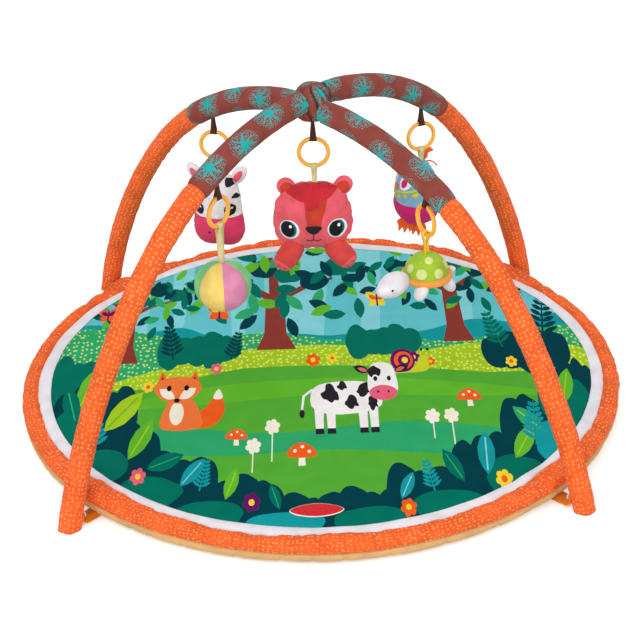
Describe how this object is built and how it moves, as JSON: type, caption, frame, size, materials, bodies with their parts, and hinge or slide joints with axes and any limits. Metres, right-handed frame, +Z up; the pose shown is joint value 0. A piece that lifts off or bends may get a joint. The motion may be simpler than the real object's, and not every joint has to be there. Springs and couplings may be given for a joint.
{
  "type": "activity play gym",
  "caption": "Round padded baby play mat with two crossing padded arches that carry rings and hanging soft toys.",
  "frame": {"origin": "on the floor under the middle of the mat", "axes": "+Z up, -Y towards the front, +X to the right seen from the front"},
  "size_m": [0.8499, 0.85, 0.468],
  "materials": {
    "underside_tan": "woven polyester, matt",
    "filling_white": "polyester filling",
    "print_fabric": "printed polyester, matt",
    "piping_white": "woven polyester, matt",
    "dotted_orange": "brushed polyester with pale dots",
    "label_red": "woven patch",
    "strap_orange": "polyester webbing",
    "snap_white": "moulded plastic",
    "rod_grey": "glass fibre rod, satin",
    "ferrule_metal": "drawn tube",
    "foam_grey": "closed-cell foam sleeve",
    "cap_plastic": "moulded plastic",
    "leaf_brown": "brushed polyester printed with teal bursts",
    "loop_brown": "polyester webbing",
    "ring_yellow": "moulded plastic, glossy",
    "ribbon_cream": "satin ribbon",
    "ball_plush": "short plush in gores of yellow, pink and green",
    "tiger_plush": "short plush",
    "zebra_plush": "short plush",
    "muzzle_plush": "short plush",
    "bird_plush": "short plush",
    "bird_felt": "felt",
    "shell_plush": "short plush with pale dots",
    "rim_plush": "short plush",
    "turtle_plush": "short plush",
    "link_yellow": "moulded plastic, glossy"
  },
  "bodies": {
    "mat": {"mat_underside": "underside_tan", "mat_padding": "filling_white", "mat_print_panel": "print_fabric", "mat_white_ring": "piping_white", "mat_border": "dotted_orange", "mat_label": "label_red", "leg_straps": "strap_orange", "strap_snaps": "snap_white"},
    "upper_arch": {"arch_a_rod_front": "rod_grey", "arch_a_rod_rear": "rod_grey", "arch_a_ferrule": "ferrule_metal", "arch_a_foam_front": "foam_grey", "arch_a_foam_rear": "foam_grey", "arch_a_leg_cover_front": "dotted_orange", "arch_a_leg_cover_rear": "dotted_orange", "arch_a_mid_cover_front": "leaf_brown", "arch_a_mid_cover_rear": "leaf_brown", "arch_a_end_caps": "cap_plastic", "crossing_wrap_upper": "leaf_brown", "loop_ball": "loop_brown", "loop_bird": "loop_brown"},
    "lower_arch": {"arch_b_rod_front": "rod_grey", "arch_b_rod_rear": "rod_grey", "arch_b_ferrule": "ferrule_metal", "arch_b_foam_front": "foam_grey", "arch_b_foam_rear": "foam_grey", "arch_b_leg_cover_front": "dotted_orange", "arch_b_leg_cover_rear": "dotted_orange", "arch_b_mid_cover_front": "leaf_brown", "arch_b_mid_cover_rear": "leaf_brown", "arch_b_end_caps": "cap_plastic", "crossing_wrap_lower": "leaf_brown", "loop_turtle": "loop_brown", "loop_zebra": "loop_brown", "loop_tiger": "loop_brown"},
    "ball_ring": {"ring_ball": "ring_yellow"},
    "ball_toy": {"ball_ribbon": "ribbon_cream", "ball_body": "ball_plush"},
    "bird_ring": {"ring_bird": "ring_yellow"},
    "bird_toy": {"bird_ribbon": "ribbon_cream", "bird_body": "bird_plush", "bird_feet": "bird_felt", "bird_crest": "bird_felt"},
    "turtle_ring": {"ring_turtle": "ring_yellow"},
    "turtle_toy": {"turtle_link": "link_yellow", "turtle_shell": "shell_plush", "turtle_rim": "rim_plush", "turtle_head": "turtle_plush", "turtle_legs": "turtle_plush"},
    "zebra_ring": {"ring_zebra": "ring_yellow"},
    "zebra_toy": {"zebra_ribbon": "ribbon_cream", "zebra_head": "zebra_plush", "zebra_muzzle": "muzzle_plush", "zebra_ears": "zebra_plush"},
    "tiger_ring": {"ring_tiger": "ring_yellow"},
    "tiger_toy": {"tiger_ribbon": "ribbon_cream", "tiger_head": "tiger_plush", "tiger_ears": "tiger_plush", "tiger_paws": "tiger_plush"}
  },
  "joints": [
    {"name": "frame_lift", "type": "slide", "parent": "mat", "child": "upper_arch", "axis": [0, 0, 1], "range_m": [0, 0.3]},
    {"name": "arch_scissor", "type": "hinge", "parent": "upper_arch", "child": "lower_arch", "pos_m": [0, 0, 0.441], "axis": [0, 0, 1], "range_deg": [-15, 15]},
    {"name": "ball_ring_swing", "type": "hinge", "parent": "upper_arch", "child": "ball_ring", "pos_m": [-0.12657, -0.12657, 0.36514], "axis": [0.6018, 0.7986, 0], "range_deg": [-30, 30]},
    {"name": "ball_toy_swing", "type": "hinge", "parent": "ball_ring", "child": "ball_toy", "pos_m": [-0.12657, -0.12657, 0.32514], "axis": [0.6018, 0.7986, 0], "range_deg": [-22, 22]},
    {"name": "bird_ring_swing", "type": "hinge", "parent": "upper_arch", "child": "bird_ring", "pos_m": [0.15698, 0.15698, 0.33984], "axis": [0.9397, 0.342, 0], "range_deg": [-30, 30]},
    {"name": "bird_toy_swing", "type": "hinge", "parent": "bird_ring", "child": "bird_toy", "pos_m": [0.15698, 0.15698, 0.29984], "axis": [0.9397, 0.342, 0], "range_deg": [-22, 22]},
    {"name": "turtle_ring_swing", "type": "hinge", "parent": "lower_arch", "child": "turtle_ring", "pos_m": [0.14142, -0.14142, 0.34949], "axis": [0.4695, -0.8829, 0], "range_deg": [-30, 30]},
    {"name": "turtle_toy_swing", "type": "hinge", "parent": "turtle_ring", "child": "turtle_toy", "pos_m": [0.14142, -0.14142, 0.30949], "axis": [0.4695, -0.8829, 0], "range_deg": [-22, 22]},
    {"name": "zebra_ring_swing", "type": "hinge", "parent": "lower_arch", "child": "zebra_ring", "pos_m": [-0.14001, 0.14001, 0.34513], "axis": [0.9848, -0.1736, 0], "range_deg": [-30, 30]},
    {"name": "zebra_toy_swing", "type": "hinge", "parent": "zebra_ring", "child": "zebra_toy", "pos_m": [-0.14001, 0.14001, 0.30513], "axis": [0.9848, -0.1736, 0], "range_deg": [-22, 22]},
    {"name": "tiger_ring_swing", "type": "hinge", "parent": "lower_arch", "child": "tiger_ring", "pos_m": [0, 0, 0.389], "axis": [1, 0, 0], "range_deg": [-30, 30]},
    {"name": "tiger_toy_swing", "type": "hinge", "parent": "tiger_ring", "child": "tiger_toy", "pos_m": [0, 0, 0.349], "axis": [1, 0, 0], "range_deg": [-22, 22]}
  ]
}
